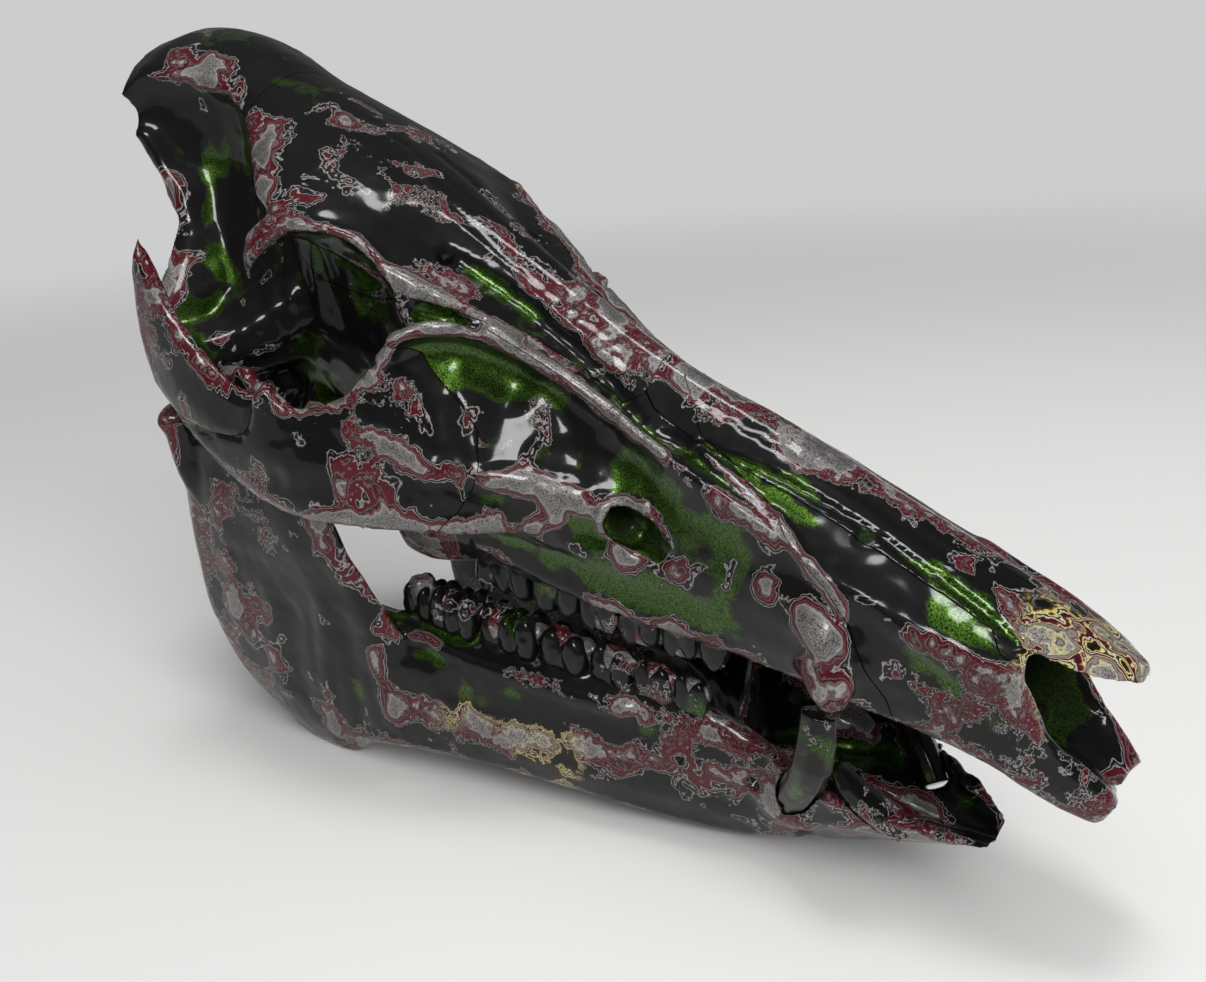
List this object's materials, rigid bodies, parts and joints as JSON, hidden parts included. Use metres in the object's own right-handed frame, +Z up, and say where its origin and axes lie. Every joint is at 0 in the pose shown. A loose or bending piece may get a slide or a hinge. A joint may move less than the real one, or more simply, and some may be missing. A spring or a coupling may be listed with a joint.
{
  "type": "pig skull",
  "caption": "Painted pig skull with its lower jaw, life size, at rest on the jaw's angles and chin; long dished face, high crest, worn tusks.",
  "frame": {"origin": "on the table under the middle of the skull's box", "axes": "+X towards the snout, +Y to the animal's left, +Z up"},
  "size_m": [0.324, 0.1376, 0.241],
  "materials": {
    "painted_bone": "layers of lacquer sanded back to rings of red, silver and cream over black, under a clear gloss coat",
    "painted_snout": "metallic candy green over black lacquer, rubbed to silver and cream at the ridges, clear gloss coat",
    "painted_jaw": "near-black lacquer with rings of red, silver and green, clear gloss coat",
    "painted_tooth": "dark gloss lacquer with green and silver on the cusps"
  },
  "bodies": {
    "root": {"braincase": "painted_bone", "frontal_bone": "painted_bone", "nasal_bone_right": "painted_snout", "nasal_bone_left": "painted_snout", "premaxilla_right": "painted_snout", "premaxilla_left": "painted_snout", "maxilla_right": "painted_snout", "maxilla_left": "painted_snout", "cheek_bone_right": "painted_bone", "cheek_bone_left": "painted_bone", "jaw_right": "painted_jaw", "jaw_left": "painted_jaw", "lower_tusk_right": "painted_tooth", "lower_tusk_left": "painted_tooth", "lower_front_tooth_right": "painted_tooth", "lower_front_tooth_left": "painted_tooth"}
  },
  "joints": []
}
